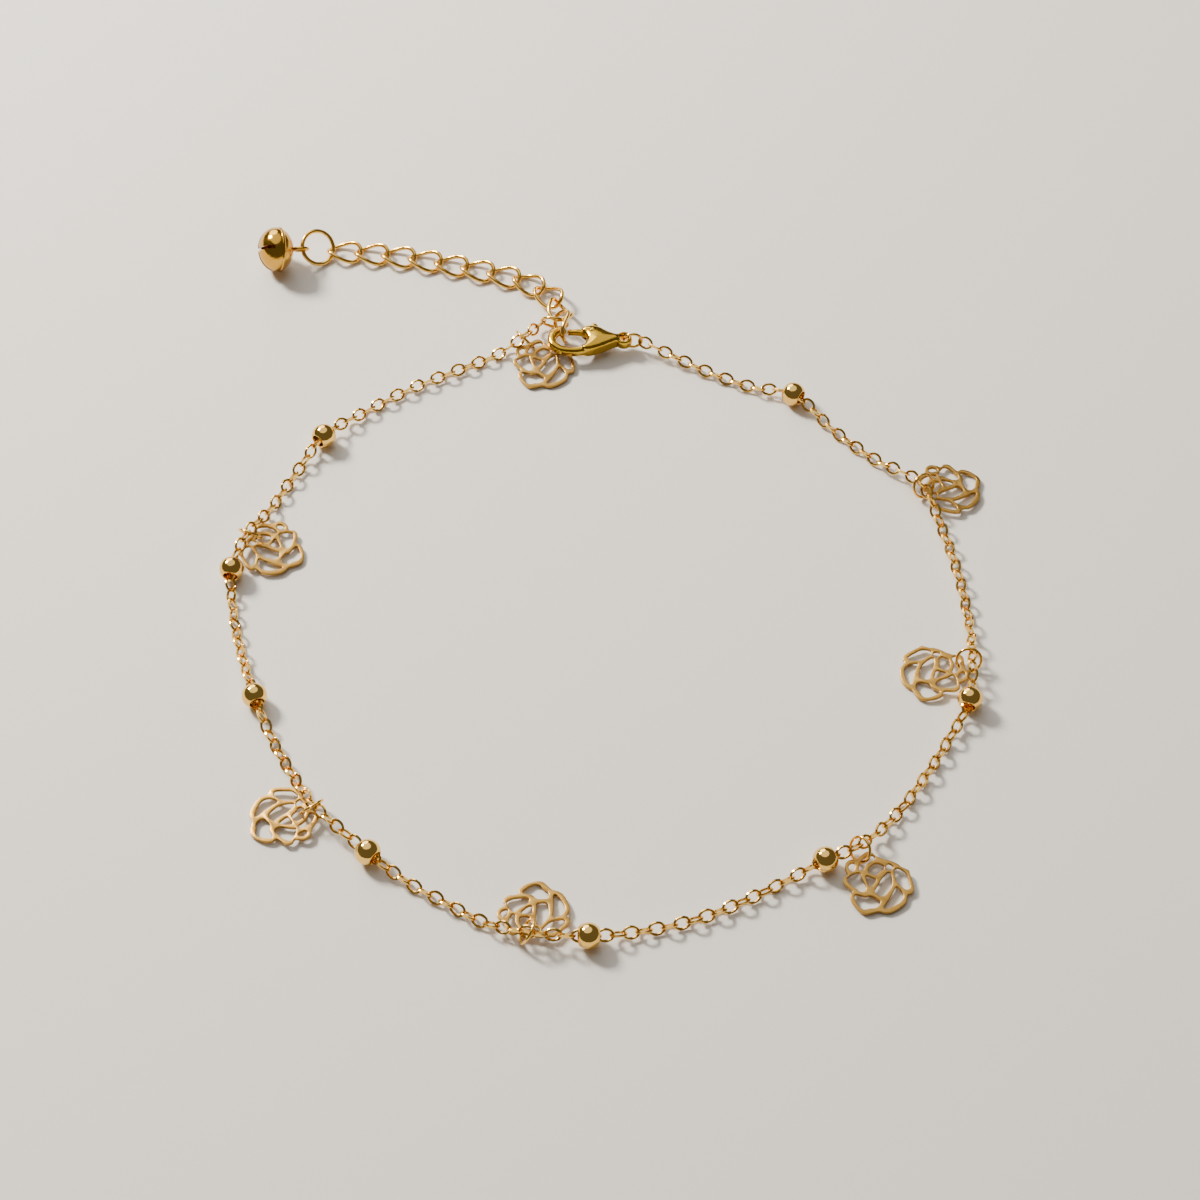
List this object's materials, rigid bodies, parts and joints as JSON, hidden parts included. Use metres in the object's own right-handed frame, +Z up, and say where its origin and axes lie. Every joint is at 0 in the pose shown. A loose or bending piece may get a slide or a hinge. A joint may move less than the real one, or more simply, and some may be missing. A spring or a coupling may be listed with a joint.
{
  "type": "charm anklet",
  "caption": "Open anklet of fine cable chain with round beads and pierced rose discs on jump rings, a lobster clasp, and a curb-link extender that ends in a small slit bell.",
  "frame": {"origin": "middle of the bottom of the whole anklet's box, on the surface that it lies on", "axes": "+Z up from the surface; +Y from the loop's near side to the clasp and extender; +X to the right seen from above"},
  "size_m": [0.0832, 0.0972, 0.0053],
  "materials": {
    "polished_gold": "polished gold plate",
    "satin_gold": "satin gold plate"
  },
  "bodies": {
    "anklet": {"chain": "polished_gold", "bead_1": "polished_gold", "bead_2": "polished_gold", "bead_3": "polished_gold", "bead_4": "polished_gold", "bead_5": "polished_gold", "bead_6": "polished_gold", "bead_7": "polished_gold", "bead_8": "polished_gold", "rose_charm_1": "satin_gold", "rose_charm_2": "satin_gold", "rose_charm_3": "satin_gold", "rose_charm_4": "satin_gold", "rose_charm_5": "satin_gold", "rose_charm_6": "satin_gold", "rose_charm_7": "satin_gold", "charm_ring_1": "polished_gold", "charm_ring_2": "polished_gold", "charm_ring_3": "polished_gold", "charm_ring_4": "polished_gold", "charm_ring_5": "polished_gold", "charm_ring_6": "polished_gold", "charm_ring_7": "polished_gold", "clasp_body": "polished_gold", "clasp_rivet": "polished_gold", "clasp_ring": "polished_gold", "chain_ring": "polished_gold", "extender_link_01": "polished_gold", "extender_link_02": "polished_gold", "extender_link_03": "polished_gold", "extender_link_04": "polished_gold", "extender_link_05": "polished_gold", "extender_link_06": "polished_gold", "extender_link_07": "polished_gold", "extender_link_08": "polished_gold", "extender_link_09": "polished_gold", "extender_link_10": "polished_gold", "extender_link_11": "polished_gold", "bell_ring": "polished_gold", "bell": "polished_gold"},
    "clasp_lever": {"clasp_lever": "polished_gold"}
  },
  "joints": [
    {"name": "lever_hinge", "type": "hinge", "parent": "anklet", "child": "clasp_lever", "pos_m": [-0.00175, 0.03294, 0.00149], "axis": [0, 0, 1], "range_deg": [0, 25], "stiffness_Nm_per_rad": 0.002, "springref_deg": -17.19}
  ]
}
